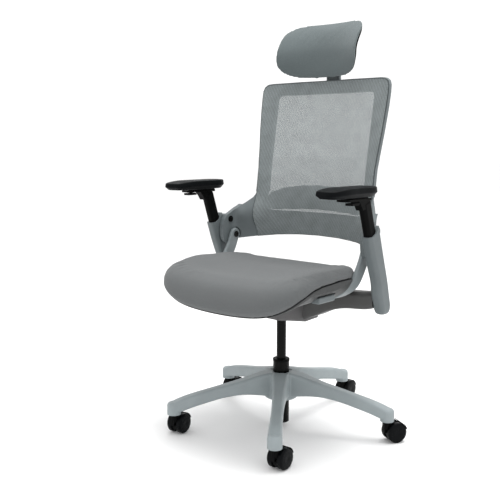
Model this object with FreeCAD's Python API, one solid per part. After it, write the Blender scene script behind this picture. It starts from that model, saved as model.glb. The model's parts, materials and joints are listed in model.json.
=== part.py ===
import FreeCAD, Part
import math
import os

# Office chair with a mesh back, a headrest and adjustable arms, in millimetres.
# The sitter faces -Y, +Z is up, and +X is the sitter's left.
# The origin lies on the floor, under the axis of the gas column.

V = FreeCAD.Vector
X_AXIS = V(1, 0, 0)
Y_AXIS = V(0, 1, 0)
Z_AXIS = V(0, 0, 1)
SIDES = {"left": 1, "right": -1}

# Running clearance between a pin and its hole, on the radius.
RUNNING = 0.05

# Star base
LEG_COUNT = 5
FIRST_LEG_ANGLE = 90.0
STEM_CIRCLE_R = 320.0
SOCKET_R = 20.0
SOCKET_BOTTOM_Z = 61.5
SOCKET_TOP_Z = 98.0
HUB_R = 50.0
HUB_TOP_Z = 168.0
HUB_BOTTOM_Z = 91.0
LEG_WALL = 4.5

# Casters
WHEEL_R = 29.0
WHEEL_WIDTH = 17.0
WHEEL_INNER_X = 8.0
WHEEL_CAP = 3.0
CASTER_TRAIL = 23.0
AXLE_R = 4.0
STEM_R = 5.5
STEM_TOP_Z = 88.0
HOOD_TOP_Z = 59.5
CASTER_SWIVELS = [0.0, 0.0, 10.0, 3.0, -30.0]

# Gas column
TUBE_R = 24.0
TUBE_WALL = 4.0
TUBE_BOTTOM_Z = 16.0
COLLAR_TOP_Z = 208.0
PISTON_R = 14.0
PISTON_BOTTOM_Z = 122.0
PISTON_TOP_Z = 352.0
ROD_R = 5.0

# Tilt mechanism
COVER_HALF_WIDTH = 62.0
CHEEK_HALF_WIDTH = 50.0
SOCKET_OUTER_R = 22.0
SEAT_TRAVEL = 20.0
GUIDE_PIN_R = 5.0
GUIDE_PIN_Z = 387.0
GUIDE_PIN_Y = 68.0
CARRIER_TOP_Z = 414.0

# Back pivots, seen from the side
UPPER_PIVOT_Y = 55.0
UPPER_PIVOT_Z = 600.0
LOWER_PIVOT_Y = 66.0
LOWER_PIVOT_Z = 552.0
RECLINE_DEG = 20.0
CHEEK_INNER_X = 253.2
CHEEK_THICK = 14.4
MEMBER_THICK = 9.0
LINK_X = 245.0
LINK_THICK = 13.0
LINK_WIDTH = 36.0

# Arms
UPRIGHT_INNER_X = 269.0
UPRIGHT_OUTER_X = 303.0
POST_LEAN_DEG = 18.5
POST_X = 286.0
POST_WIDTH = 36.0
POST_THICK = 24.0
POST_TONGUE_WIDTH = 26.0
POST_STEP_S = -8.0
POST_END_S = -150.0
POST_DROP = 40.0
POST_GAP = 0.5
POST_AXIS_Y = 16.5
POST_AXIS_Z = 591.0
PLATE_BOTTOM_Z = 690.0
PLATE_TOP_Z = 696.0
PAD_X = 276.0
PAD_FRONT_Y = -181.0
PAD_REAR_Y = 28.0
PAD_WIDTH = 78.0
PAD_BOTTOM_Z = 699.5
PAD_EDGE_Z = 711.0
PAD_TOP_Z = 725.0

# Seat
BOARD_BOTTOM_Z = 468.0
SCREW_POINTS = [(-36.0, -96.0), (-36.0, 96.0), (36.0, -96.0), (36.0, 96.0)]

# Back frame
BACK_JOINT_Z = 685.0
FRAME_DEPTH = 13.0
MESH_THICK = 1.6
FRAME_GAP = 2.0
OPENING_HALF_WIDTH = 179.0
OPENING_TOP_Z = 984.0

# Headrest
HEADREST_HALF_WIDTH = 144.5
HEADREST_MID_Z = 1112.0
HEADREST_HALF_HEIGHT = 83.0
HINGE_Y = 243.0
HINGE_Z = 1102.0
STEM_BOTTOM_Z = 988.0
STEM_WIDTH = 50.0
STEM_THICK = 10.0


# ---------------------------------------------------------------- helpers


def box(x0, x1, y0, y1, z0, z1):
    return Part.makeBox(x1 - x0, y1 - y0, z1 - z0, V(x0, y0, z0))


def rod(start, end, radius):
    """Cylinder between two points."""
    a = V(*start)
    axis = V(*end) - a
    return Part.makeCylinder(radius, axis.Length, a, axis)


def ring(outer, inner, z0, z1):
    """Upright tube about the column axis."""
    hole = Part.makeCylinder(inner, z1 - z0, V(0, 0, z0))
    return Part.makeCylinder(outer, z1 - z0, V(0, 0, z0)).cut(hole)


def fuse(shapes):
    result = shapes[0]
    for shape in shapes[1:]:
        result = result.fuse(shape)
    return result.removeSplitter()


def mirrored(shape):
    return shape.mirror(V(0, 0, 0), X_AXIS)


def on_side(shape, sign):
    """The shape itself on the left, its mirror image on the right."""
    return shape if sign > 0 else mirrored(shape)


def prism_x(points, x0, x1):
    """Polygon in the YZ plane, extruded along X."""
    corners = [V(x0, y, z) for y, z in points]
    face = Part.Face(Part.makePolygon(corners + corners[:1]))
    return face.extrude(V(x1 - x0, 0, 0))


def prism_y(points, y0, y1):
    """Polygon in the XZ plane, extruded along Y."""
    corners = [V(x, y0, z) for x, z in points]
    face = Part.Face(Part.makePolygon(corners + corners[:1]))
    return face.extrude(V(0, y1 - y0, 0))


def spline_edge(points, periodic=False):
    curve = Part.BSplineCurve()
    curve.interpolate(Points=points, PeriodicFlag=periodic)
    return curve.toShape()


def closed_spline(points):
    return Part.Wire([spline_edge(points, True)])


def rounded_rect(center, u, v, width, height, radius):
    """Wire of a rounded rectangle, width along u and height along v."""
    c = V(*center)
    u = V(*u).normalize()
    v = V(*v).normalize()
    a = width / 2.0 - radius
    b = height / 2.0 - radius
    diagonal = radius * math.sqrt(0.5)
    edges = []
    quarter = [(1, 1), (-1, 1), (-1, -1), (1, -1)]
    for index, (sx, sy) in enumerate(quarter):
        hub = c + u * (sx * a) + v * (sy * b)
        across = hub + u * (sx * radius)
        along = hub + v * (sy * radius)
        middle = hub + u * (sx * diagonal) + v * (sy * diagonal)
        start, end = (across, along) if index % 2 == 0 else (along, across)
        edges.append(Part.Arc(start, middle, end).toShape())
        nx, ny = quarter[(index + 1) % 4]
        next_hub = c + u * (nx * a) + v * (ny * b)
        step = v * (ny * radius) if index % 2 == 0 else u * (nx * radius)
        edges.append(Part.LineSegment(end, next_hub + step).toShape())
    return Part.Wire(edges)


def loft(wires):
    return Part.makeLoft(wires, True, False)


def turned(shape, point, axis, angle):
    copy = shape.copy()
    copy.rotate(V(*point), axis, angle)
    return copy


def moved(shape, x, y, z):
    copy = shape.copy()
    copy.translate(V(x, y, z))
    return copy


def blend_between(stations, z):
    """Straight interpolation in a list of (z, value, value, ...)."""
    if z <= stations[0][0]:
        return stations[0][1:]
    for low, high in zip(stations, stations[1:]):
        if z <= high[0]:
            t = (z - low[0]) / (high[0] - low[0])
            return tuple(a + (b - a) * t for a, b in zip(low[1:], high[1:]))
    return stations[-1][1:]


def slide_direction():
    """Direction in which the seat glides as the back reclines."""
    dy = LOWER_PIVOT_Y - UPPER_PIVOT_Y
    dz = LOWER_PIVOT_Z - UPPER_PIVOT_Z
    angle = math.radians(RECLINE_DEG)
    y = dy * math.cos(angle) + dz * math.sin(angle) - dy
    z = -dy * math.sin(angle) + dz * math.cos(angle) - dz
    return V(0, y, z).normalize()


# ---------------------------------------------------------------- base


def leg_section(r, half_width, z0, z1, inset=0.0):
    corner = max(3.0, min(9.0 - inset, half_width * 0.5))
    width = 2.0 * (half_width - inset)
    top = z1 - inset
    center = (r, 0.0, (z0 + top) / 2.0)
    return rounded_rect(center, (0, 1, 0), (0, 0, 1), width, top - z0, corner)


# Stations along a leg: radius, half width, underside, top.
LEG_STATIONS = [
    (28.0, 30.0, 96.0, 170.0),
    (56.0, 25.0, 101.0, 167.0),
    (109.0, 20.0, 106.0, 153.0),
    (186.0, 16.5, 99.0, 135.0),
    (237.0, 16.5, 87.0, 123.5),
    (286.0, 18.0, 74.0, 111.0),
    (306.0, 19.0, 68.0, 104.0),
    (320.0, 19.6, 66.0, 98.0),
]


def leg():
    outer = loft([leg_section(*station) for station in LEG_STATIONS])
    height = SOCKET_TOP_Z - SOCKET_BOTTOM_Z
    socket = Part.makeCylinder(SOCKET_R, height, V(STEM_CIRCLE_R, 0, SOCKET_BOTTOM_Z))
    rim = [e for e in socket.Edges if e.BoundBox.ZMin > SOCKET_TOP_Z - 0.01]
    socket = socket.makeFillet(11.0, rim[:1])
    pocket = loft([
        leg_section(r, half, 40.0, z1 - LEG_WALL, LEG_WALL * 0.9)
        for r, half, z0, z1 in LEG_STATIONS[1:6]
    ])
    for r in (110.0, 165.0, 220.0):
        pocket = pocket.cut(box(r - 1.5, r + 1.5, -30, 30, 30, 180))
    pocket = pocket.cut(Part.makeCylinder(SOCKET_R, 100, V(STEM_CIRCLE_R, 0, 40)))
    return outer.fuse(socket).cut(pocket)


def leg_angles():
    return [FIRST_LEG_ANGLE + index * 360.0 / LEG_COUNT for index in range(LEG_COUNT)]


def stem_points():
    points = []
    for angle in leg_angles():
        a = math.radians(angle)
        points.append((STEM_CIRCLE_R * math.cos(a), STEM_CIRCLE_R * math.sin(a)))
    return points


def star_base():
    hub = Part.makeCylinder(HUB_R, HUB_TOP_Z - HUB_BOTTOM_Z, V(0, 0, HUB_BOTTOM_Z))
    hub = hub.makeFillet(6.0, [e for e in hub.Edges if e.BoundBox.ZLength < 0.01])
    solid = hub
    one_leg = leg()
    for angle in leg_angles():
        solid = solid.fuse(turned(one_leg, (0, 0, 0), Z_AXIS, angle))
    solid = solid.cut(Part.makeCylinder(TUBE_R, 200, V(0, 0, 40)))
    for x, y in stem_points():
        solid = solid.cut(Part.makeCylinder(STEM_R, STEM_TOP_Z - 40, V(x, y, 40)))
    return solid.removeSplitter()


def column_tube():
    inner = TUBE_R - TUBE_WALL
    tube = ring(TUBE_R, inner, TUBE_BOTTOM_Z, COLLAR_TOP_Z - 7.0)
    floor = ring(inner, ROD_R, TUBE_BOTTOM_Z, TUBE_BOTTOM_Z + 4.0)
    return tube.fuse(floor).removeSplitter()


def column_bushing():
    inner = TUBE_R - TUBE_WALL
    sleeve = ring(inner, PISTON_R + RUNNING, 130.0, COLLAR_TOP_Z - 7.0)
    cap = ring(TUBE_R + 0.8, PISTON_R + RUNNING, COLLAR_TOP_Z - 7.0, COLLAR_TOP_Z)
    rims = [e for e in cap.Edges if e.BoundBox.ZMin > COLLAR_TOP_Z - 1]
    outer_rim = max(rims, key=lambda e: e.BoundBox.XLength)
    return sleeve.fuse(cap.makeChamfer(1.5, [outer_rim])).removeSplitter()


def column_rod():
    return Part.makeCylinder(ROD_R, 180.0 - TUBE_BOTTOM_Z, V(0, 0, TUBE_BOTTOM_Z))


def column_clip():
    return ring(9.0, ROD_R - 1.5, TUBE_BOTTOM_Z - 3.0, TUBE_BOTTOM_Z)


def caster_stems():
    stems = []
    for x, y in stem_points():
        pin = Part.makeCylinder(STEM_R, STEM_TOP_Z - 42.0, V(x, y, 42.0))
        collar = Part.makeCylinder(8.0, 1.4, V(x, y, HOOD_TOP_Z + 0.6))
        stems.append(pin.fuse(collar).removeSplitter())
    return Part.makeCompound(stems)


# ---------------------------------------------------------------- casters


def annular_sector(inner, outer, start_deg, end_deg, x0, x1):
    """Part of a ring about the wheel axis, extruded along X."""
    middle = (start_deg + end_deg) / 2.0

    def point(radius, degrees):
        a = math.radians(degrees)
        return V(x0, CASTER_TRAIL + radius * math.cos(a), WHEEL_R + radius * math.sin(a))

    edges = [
        Part.Arc(point(outer, start_deg), point(outer, middle), point(outer, end_deg)).toShape(),
        Part.LineSegment(point(outer, end_deg), point(inner, end_deg)).toShape(),
        Part.Arc(point(inner, end_deg), point(inner, middle), point(inner, start_deg)).toShape(),
        Part.LineSegment(point(inner, start_deg), point(outer, start_deg)).toShape(),
    ]
    return Part.Face(Part.Wire(edges)).extrude(V(x1 - x0, 0, 0))


def caster_hood():
    web_half = WHEEL_INNER_X - 1.2
    disc = Part.makeCylinder(25.0, 2 * web_half, V(-web_half, CASTER_TRAIL, WHEEL_R), X_AXIS)
    boss = Part.makeCylinder(11.5, HOOD_TOP_Z - 38.0, V(0, 0, 38.0))
    neck = box(-web_half, web_half, -11.0, 20.0, 28.0, 57.0)
    fender = annular_sector(WHEEL_R + 1.0, WHEEL_R + 2.6, 16.0, 62.0, -22.0, 22.0)
    bridge = annular_sector(20.0, WHEEL_R + 2.6, 16.0, 62.0, -web_half, web_half)
    solid = fuse([disc, neck, boss, fender, bridge])
    solid = solid.cut(Part.makeCylinder(STEM_R + RUNNING, 40.0, V(0, 0, 41.0)))
    solid = solid.cut(Part.makeCylinder(AXLE_R, 60.0, V(-30, CASTER_TRAIL, WHEEL_R), X_AXIS))
    for x in (WHEEL_INNER_X - 0.4, -WHEEL_INNER_X + 0.4 - 20.0):
        solid = solid.cut(Part.makeCylinder(WHEEL_R + 0.5, 20.0, V(x, CASTER_TRAIL, WHEEL_R), X_AXIS))
    return solid


def caster_axle():
    reach = WHEEL_INNER_X + WHEEL_WIDTH - WHEEL_CAP - 0.5
    return Part.makeCylinder(AXLE_R, 2 * reach, V(-reach, CASTER_TRAIL, WHEEL_R), X_AXIS)


def caster_wheel():
    """Wheel on the +X side: tread, domed face and a recess round the axle."""
    x0 = WHEEL_INNER_X
    x1 = WHEEL_INNER_X + WHEEL_WIDTH
    bore = AXLE_R + RUNNING
    profile = [
        V(x0, bore, 0), V(x0, WHEEL_R - 2.0, 0), V(x0 + 2.0, WHEEL_R, 0), V(x1 - 5.0, WHEEL_R, 0),
        V(x1 - 1.5, WHEEL_R - 3.0, 0), V(x1 - 0.6, WHEEL_R - 7.0, 0), V(x1, 12.0, 0),
        V(x1 - 0.8, 0, 0), V(x1 - WHEEL_CAP, 0, 0), V(x1 - WHEEL_CAP, bore, 0),
    ]
    face = Part.Face(Part.makePolygon(profile + profile[:1]))
    wheel = face.revolve(V(0, 0, 0), X_AXIS, 360)
    return moved(wheel, 0, CASTER_TRAIL, WHEEL_R)


def caster_wheels():
    wheel = caster_wheel()
    return Part.makeCompound([wheel, mirrored(wheel)])


# ---------------------------------------------------------------- gas lift and mechanism


def gas_cylinder():
    body = Part.makeCylinder(PISTON_R, PISTON_TOP_Z - PISTON_BOTTOM_Z, V(0, 0, PISTON_BOTTOM_Z))
    body = body.makeChamfer(1.0, [e for e in body.Edges if e.BoundBox.ZLength < 0.01])
    bore = Part.makeCylinder(ROD_R + 0.3, 305.0 - PISTON_BOTTOM_Z, V(0, 0, PISTON_BOTTOM_Z))
    pin_hole = Part.makeCylinder(4.0 + RUNNING, 40.0, V(0, 0, 325.0))
    return body.cut(bore).cut(pin_hole)


def release_pin():
    return Part.makeCylinder(4.0, 28.0, V(0, 0, 330.0))


def cover_profile(inset):
    """Side outline of the mechanism's lower cover."""
    return [
        (-102.0 + inset, 378.0), (-102.0 + inset, 364.0), (-88.0 + inset, 346.0 + inset),
        (40.0, 319.0 + inset), (97.0 - inset * 0.5, 321.0 + inset), (122.0 - inset, 346.0 + inset * 0.6),
        (124.0 - inset, 378.0),
    ]


def mechanism_cover():
    """Open-topped plastic tub under the mechanism."""
    outer = prism_x(cover_profile(0.0), -COVER_HALF_WIDTH, COVER_HALF_WIDTH)
    long_edges = [e for e in outer.Edges if e.BoundBox.XLength < 0.01 and e.BoundBox.ZMin < 370]
    outer = outer.makeFillet(6.0, long_edges)
    inner = prism_x(cover_profile(3.5), -COVER_HALF_WIDTH + 3.5, COVER_HALF_WIDTH - 3.5)
    lid_gap = box(-COVER_HALF_WIDTH + 3.5, COVER_HALF_WIDTH - 3.5, -98.5, 120.5, 377.0, 400.0)
    hole = Part.makeCylinder(SOCKET_OUTER_R + 0.4, 80.0, V(0, 0, 290.0))
    return outer.cut(inner).cut(lid_gap).cut(hole)


def guide_slot(y, z):
    """Slanted slot in which a seat pin runs."""
    travel = slide_direction() * SEAT_TRAVEL
    r = GUIDE_PIN_R + 0.4
    start = V(-80, y, z)
    end = start + travel
    across = V(0, -travel.z, travel.y).normalize() * r
    corners = [start + across, end + across, end - across, start - across]
    middle = Part.Face(Part.makePolygon(corners + corners[:1])).extrude(V(160, 0, 0))
    ends = [Part.makeCylinder(r, 160, p, X_AXIS) for p in (start, end)]
    return middle.fuse(ends[0]).fuse(ends[1])


def mechanism_housing():
    """Steel channel with slotted cheeks and the column's socket."""
    side = [(-95, 364), (-86, 356), (105, 356), (105, 399), (-95, 399)]
    outer = prism_x(side, -CHEEK_HALF_WIDTH, CHEEK_HALF_WIDTH)
    inside = box(-CHEEK_HALF_WIDTH + 4, CHEEK_HALF_WIDTH - 4, -100, 110, 360, 410)
    socket = Part.makeCylinder(SOCKET_OUTER_R, 35.0, V(0, 0, 325.0))
    cross_bars = [box(-58.5, 58.5, 46, 70, 356, 360), box(-58.5, 58.5, -70, -46, 356, 360)]
    solid = fuse([outer.cut(inside), socket] + cross_bars)
    solid = solid.cut(Part.makeCylinder(PISTON_R + RUNNING, 60.0, V(0, 0, 320.0)))
    for y in (-GUIDE_PIN_Y, GUIDE_PIN_Y):
        solid = solid.cut(guide_slot(y, GUIDE_PIN_Z))
    return solid


def release_rocker():
    """Rocker over the gas lift's pin, with its pivot pin."""
    bar = box(-6, 6, -50, 8, 362.5, 367.5)
    nose = box(-5, 5, -5, 5, 358.3, 363.0)
    pivot = rod((-44, -45, 364.5), (44, -45, 364.5), 3.0)
    return fuse([bar, nose, pivot])


def tilt_spring():
    """Torsion bar between the cheeks, with its lever block."""
    bar = rod((-46, 88, 376), (46, 88, 376), 7.0)
    block = box(-14, 14, 76, 100, 366, 384)
    return bar.fuse(block).removeSplitter()


# Stations along a side beam: x, front y, rear y, underside, top, corner radius.
BEAM_STATIONS = [
    (62.0, 22.0, 118.0, 329.0, 377.0, 8.0),
    (100.0, 38.0, 116.0, 346.0, 394.0, 10.0),
    (140.0, 50.0, 112.0, 363.0, 412.0, 12.0),
    (205.0, 58.0, 107.0, 374.0, 425.0, 14.0),
    (UPRIGHT_INNER_X, 62.0, 104.0, 385.0, 434.0, 14.0),
]


def support_beam():
    wires = []
    for x, y0, y1, z0, z1, radius in BEAM_STATIONS:
        center = (x, (y0 + y1) / 2.0, (z0 + z1) / 2.0)
        wires.append(rounded_rect(center, (0, 1, 0), (0, 0, 1), y1 - y0, z1 - z0, radius))
    return loft(wires)


# ---------------------------------------------------------------- arms

# Stations up an upright: z, front y, rear y, inset of both x faces, corner radius.
UPRIGHT_STATIONS = [
    (369.0, 76.0, 98.0, 8.0, 8.0),
    (373.0, 69.0, 106.0, 3.0, 11.0),
    (384.0, 64.0, 110.0, 0.3, 12.0),
    (406.0, 57.0, 107.5, 0.0, 12.0),
    (450.0, 45.0, 96.0, 0.0, 12.0),
    (494.0, 30.0, 82.0, 0.0, 12.0),
    (548.0, 8.0, 64.0, 0.0, 12.0),
    (591.0, -7.0, 50.0, 0.0, 12.0),
    (628.0, -20.0, 40.0, 0.0, 12.0),
]


def post_direction():
    lean = math.radians(POST_LEAN_DEG)
    return V(0, -math.sin(lean), math.cos(lean))


def post_bar(grow, from_s, to_s, width):
    """Straight bar along the post's axis, flush with the post's rear edge."""
    direction = post_direction()
    across = V(0, direction.z, -direction.y)
    start = V(POST_X, POST_AXIS_Y, POST_AXIS_Z) + direction * from_s + across * ((POST_WIDTH - width) / 2.0)
    wire = rounded_rect(start, X_AXIS, across, POST_THICK + 2 * grow, width + 2 * grow, 9.0)
    return Part.Face(wire).extrude(direction * (to_s - from_s))


def post_bore():
    """Stepped hole for the post, deep enough for its travel."""
    wide = post_bar(POST_GAP, POST_STEP_S - POST_DROP - 1.0, 60.0, POST_WIDTH)
    narrow = post_bar(POST_GAP, POST_END_S - POST_DROP - 4.0, 0.0, POST_TONGUE_WIDTH)
    return wide.fuse(narrow).removeSplitter()


def arm_upright():
    """Sleeve that holds the arm post, with the ear that carries the back's pivot."""
    wires = []
    for z, y0, y1, inset, radius in UPRIGHT_STATIONS:
        center = ((UPRIGHT_INNER_X + UPRIGHT_OUTER_X) / 2.0, (y0 + y1) / 2.0, z)
        width = UPRIGHT_OUTER_X - UPRIGHT_INNER_X - 2 * inset
        wires.append(rounded_rect(center, X_AXIS, Y_AXIS, width, y1 - y0, radius))
    body = loft(wires)
    mouth = [
        (-60, 589), (-8, 590), (8, 592.5), (20, 599), (28, 610), (34, 617.5), (40, 619.5), (48, 617.5),
        (54, 612), (70, 605), (100, 605), (100, 670), (-60, 670),
    ]
    body = body.cut(prism_x(mouth, 250, 330))
    face_x = UPRIGHT_INNER_X - 0.4
    ear = rod((face_x, UPPER_PIVOT_Y, UPPER_PIVOT_Z), (285, UPPER_PIVOT_Y, UPPER_PIVOT_Z), 15.0)
    web = prism_x([(30, 565), (62, 565), (68, 600), (44, 612), (30, 600)], UPRIGHT_INNER_X + 3.0, 285)
    body = fuse([body, ear, web])
    body = body.cut(post_bore())
    bolt_hole = rod((260, UPPER_PIVOT_Y, UPPER_PIVOT_Z), (282, UPPER_PIVOT_Y, UPPER_PIVOT_Z), 7.0)
    return body.cut(bolt_hole)


def upper_pivot_bolts():
    bolts = []
    for sign in SIDES.values():
        y, z = UPPER_PIVOT_Y, UPPER_PIVOT_Z
        shank = rod((sign * 250.0, y, z), (sign * 282.0, y, z), 7.0)
        head = rod((sign * 250.0, y, z), (sign * 252.7, y, z), 9.5)
        socket = rod((sign * 249.0, y, z), (sign * 251.5, y, z), 4.0)
        bolts.append(shank.fuse(head).cut(socket).removeSplitter())
    return Part.makeCompound(bolts)


def arm_post():
    """Post with the plate that carries the pad."""
    tongue = post_bar(0.0, POST_END_S, POST_STEP_S + 10.0, POST_TONGUE_WIDTH)
    shaft = post_bar(0.0, POST_STEP_S, 96.0, POST_WIDTH)
    plate = box(262.0, 302.0, -112.0, 0.0, PLATE_BOTTOM_Z, PLATE_TOP_Z)
    plate = plate.makeFillet(8.0, [e for e in plate.Edges if e.BoundBox.ZLength > 4.0])
    gusset = prism_x([(-56, 690), (-4, 690), (-4, 674), (-36, 664), (-44, 676)], 275.0, 297.0)
    trim = box(250, 330, -60, 60, PLATE_TOP_Z, 740.0)
    solid = fuse([shaft.cut(trim), tongue, plate, gusset])
    return solid.cut(Part.makeCylinder(4.4, 13.2, V(293, -81, 682)))


def arm_trigger():
    paddle = box(282.0, 304.0, -98.0, -64.0, 680.5, 686.5)
    paddle = paddle.makeFillet(2.0, [e for e in paddle.Edges if e.BoundBox.ZLength > 4.0])
    stem = Part.makeCylinder(4.0, 7.0, V(293, -81, 685))
    return paddle.fuse(stem).removeSplitter()


def arm_slider():
    """Plate between post and pad, which slides fore and aft."""
    plate = box(257.0, 297.0, -96.0, -6.0, PLATE_TOP_Z + 0.3, PLATE_TOP_Z + 2.8)
    plate = plate.makeFillet(10.0, [e for e in plate.Edges if e.BoundBox.ZLength > 2.0])
    pivot = Part.makeCylinder(9.0, 7.0, V(PAD_X, -40, 697.0))
    return plate.fuse(pivot).removeSplitter()


def pad_outline(inset, z):
    """Plan outline of an arm pad at one height."""
    half = PAD_WIDTH / 2.0 - inset
    front = PAD_FRONT_Y + inset
    rear = PAD_REAR_Y - inset
    points = [
        (-half * 0.64, front + 3), (0.0, front), (half * 0.6, front + 3), (half * 0.93, front + 27),
        (half, front + 92), (half, rear - 60), (half * 0.86, rear - 18), (half * 0.5, rear),
        (-half * 0.5, rear), (-half * 0.86, rear - 18), (-half, rear - 60), (-half, front + 120),
        (-half * 0.96, front + 30),
    ]
    return closed_spline([V(PAD_X + x, y, z) for x, y in points])


def arm_pad():
    lower = loft([pad_outline(9.0, PAD_BOTTOM_Z), pad_outline(0.0, PAD_EDGE_Z)])
    upper = loft([pad_outline(0.0, PAD_EDGE_Z), pad_outline(1.5, PAD_TOP_Z - 1.2)])
    crown = loft([pad_outline(1.5, PAD_TOP_Z - 1.2), pad_outline(4.0, PAD_TOP_Z)])
    body = fuse([lower, upper, crown])
    return body.cut(Part.makeCylinder(9.0 + RUNNING * 2, 6.5, V(PAD_X, -40, PAD_BOTTOM_Z - 1)))


# ---------------------------------------------------------------- seat

# Seat stations from the middle outwards: x, front y, rear y, top z, underside z, lip z.
SEAT_STATIONS = [
    (0.0, -296.0, 142.0, 487.0, 413.0, 389.0),
    (75.0, -295.0, 137.0, 488.0, 413.0, 391.0),
    (130.0, -292.0, 122.0, 491.0, 414.0, 396.0),
    (180.0, -284.0, 93.0, 498.0, 419.0, 407.0),
    (218.0, -268.0, 55.0, 503.0, 429.0, 423.0),
    (243.0, -243.0, 8.0, 501.0, 445.0, 441.0),
    (255.0, -203.0, -55.0, 487.0, 458.0, 457.0),
]


def seat_section(x, front, rear, top, under, lip):
    """Closed outline of the seat in the YZ plane at one x."""
    span = rear - front
    height = top - under
    points = [
        (rear, top - height * 0.38), (rear - 10, top - height * 0.12), (rear - span * 0.20, top - 1),
        (rear - span * 0.50, top + 2), (rear - span * 0.76, top - 4), (front + 22, top - height * 0.28),
        (front + 4, (top + lip) / 2.0 - 4), (front + 3, lip + height * 0.16), (front + 16, lip),
        (front + span * 0.12, lip + (under - lip) * 0.25),
        (front + span * 0.26, under - (under - lip) * 0.12),
        (rear - span * 0.5, under), (rear - span * 0.2, under), (rear - 10, under + height * 0.22),
    ]
    return closed_spline([V(x, y, z) for y, z in points])


def mirror_loft(stations):
    """Loft of seat sections from one side to the other, given from the middle outwards."""
    right = [(-x,) + tuple(rest) for x, *rest in reversed(stations[1:])]
    return loft([seat_section(*station) for station in right + stations])


def seat_envelope():
    return mirror_loft(SEAT_STATIONS)


# Seam between cushion and shell, seen from the side.
SEAM = [
    (-330.0, 378.0), (-286.0, 380.0), (-268.0, 402.0), (-250.0, 428.0), (-232.0, 446.0), (-212.0, 458.0),
    (-186.0, 467.0), (-150.0, 473.0), (-60.0, 477.5), (10.0, 475.0), (90.0, 464.0), (170.0, 458.0),
]


def below_seam(drop):
    points = [(y, z - drop) for y, z in SEAM] + [(170, 300), (-330, 300)]
    return prism_x(points, -300, 300)


def seat_cushion(envelope):
    return envelope.cut(below_seam(0.0))


def seat_shell(envelope):
    """Plastic tray under the cushion, with a recess for each hand paddle."""
    lower = envelope.common(below_seam(0.3))
    inner = [
        (x * 0.97, front + 9, rear - 9, top + 4, under + 5, max(lip + 14, under + 4))
        for x, front, rear, top, under, lip in SEAT_STATIONS
    ]
    shell = lower.cut(mirror_loft(inner))
    shell = max(shell.Solids, key=lambda solid: solid.Volume)
    for sign in SIDES.values():
        shell = shell.cut(on_side(box(219.5, 262, -161.5, -82.5, 410, 449.5), sign))
    height = BOARD_BOTTOM_Z - CARRIER_TOP_Z
    posts = [Part.makeCylinder(8.0, height, V(x, y, CARRIER_TOP_Z)) for x, y in SCREW_POINTS]
    shell = fuse([shell] + posts)
    for x, y in SCREW_POINTS:
        shell = shell.cut(Part.makeCylinder(3.0, 34.0, V(x, y, 406)))
    plate = box(-59, 59, -116, 116, 380, CARRIER_TOP_Z)
    return shell.cut(plate)


def seat_board():
    """Plywood board that the foam rests on, inside the tray."""
    slab = box(-190, 190, -200, 85, BOARD_BOTTOM_Z, BOARD_BOTTOM_Z + 9)
    return slab.makeFillet(60.0, [e for e in slab.Edges if e.BoundBox.ZLength > 7.0])


def seat_carrier():
    """Steel plate with two flanges that hold the guide pins."""
    plate = box(-56.5, 56.5, -112, 112, 409.5, CARRIER_TOP_Z)
    flanges = [on_side(box(53.0, 56.5, -84, 84, 379.5, 410.0), sign) for sign in SIDES.values()]
    solid = fuse([plate] + flanges)
    for y in (-GUIDE_PIN_Y, GUIDE_PIN_Y):
        solid = solid.cut(Part.makeCylinder(GUIDE_PIN_R, 140, V(-70, y, GUIDE_PIN_Z), X_AXIS))
    for x, y in SCREW_POINTS:
        solid = solid.cut(Part.makeCylinder(3.0, 20.0, V(x, y, 400)))
    return solid


def seat_guide_pins():
    pins = []
    for y in (-GUIDE_PIN_Y, GUIDE_PIN_Y):
        pins.append(rod((-57.5, y, GUIDE_PIN_Z), (57.5, y, GUIDE_PIN_Z), GUIDE_PIN_R))
    return Part.makeCompound(pins)


# Line of a seat link: x, y, z, and how far its flat side has turned under the seat.
LINK_LINE = [
    (LINK_X, LOWER_PIVOT_Y, LOWER_PIVOT_Z, 0.0),
    (LINK_X, 58.0, 534.0, 0.0),
    (LINK_X, 48.0, 513.0, 0.0),
    (LINK_X, 31.0, 487.0, 2.0),
    (LINK_X - 3.0, 8.0, 458.0, 12.0),
    (LINK_X - 16.0, -16.0, 438.0, 45.0),
    (LINK_X - 42.0, -36.0, 425.0, 76.0),
    (LINK_X - 90.0, -52.0, 414.0, 87.0),
    (LINK_X - 140.0, -60.0, 407.0, 90.0),
    (58.0, -62.0, 403.0, 90.0),
]


def link_bar(grow):
    """Bent flat bar of the seat link, enlarged all round by grow."""
    wires = []
    last = len(LINK_LINE) - 1
    for index, (x, y, z, turn) in enumerate(LINK_LINE):
        before = LINK_LINE[max(index - 1, 0)]
        after = LINK_LINE[min(index + 1, last)]
        along = V(after[0] - before[0], after[1] - before[1], after[2] - before[2]).normalize()
        a = math.radians(turn)
        thin = V(math.cos(a), 0, -math.sin(a))
        wide = along.cross(thin).normalize()
        thin = wide.cross(along).normalize()
        size = (LINK_THICK + 2 * grow, LINK_WIDTH + 2 * grow)
        wires.append(rounded_rect((x, y, z), thin, wide, size[0], size[1], 4.5))
    return loft(wires)


def seat_link():
    """Flat bar from the lower pivot, bent inwards under the seat."""
    half = LINK_THICK / 2.0
    start = (LINK_X - half, LOWER_PIVOT_Y, LOWER_PIVOT_Z)
    eye = rod(start, (LINK_X + half, LOWER_PIVOT_Y, LOWER_PIVOT_Z), LINK_WIDTH / 2.0)
    eye = eye.makeFillet(4.0, [e for e in eye.Edges if e.BoundBox.XLength < 0.01])
    bar = link_bar(0.0).fuse(eye)
    hole = rod((200, LOWER_PIVOT_Y, LOWER_PIVOT_Z), (270, LOWER_PIVOT_Y, LOWER_PIVOT_Z), 6.0)
    head_face = rod((200, LOWER_PIVOT_Y, LOWER_PIVOT_Z), start, 10.0)
    return bar.cut(hole).cut(head_face)


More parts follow.
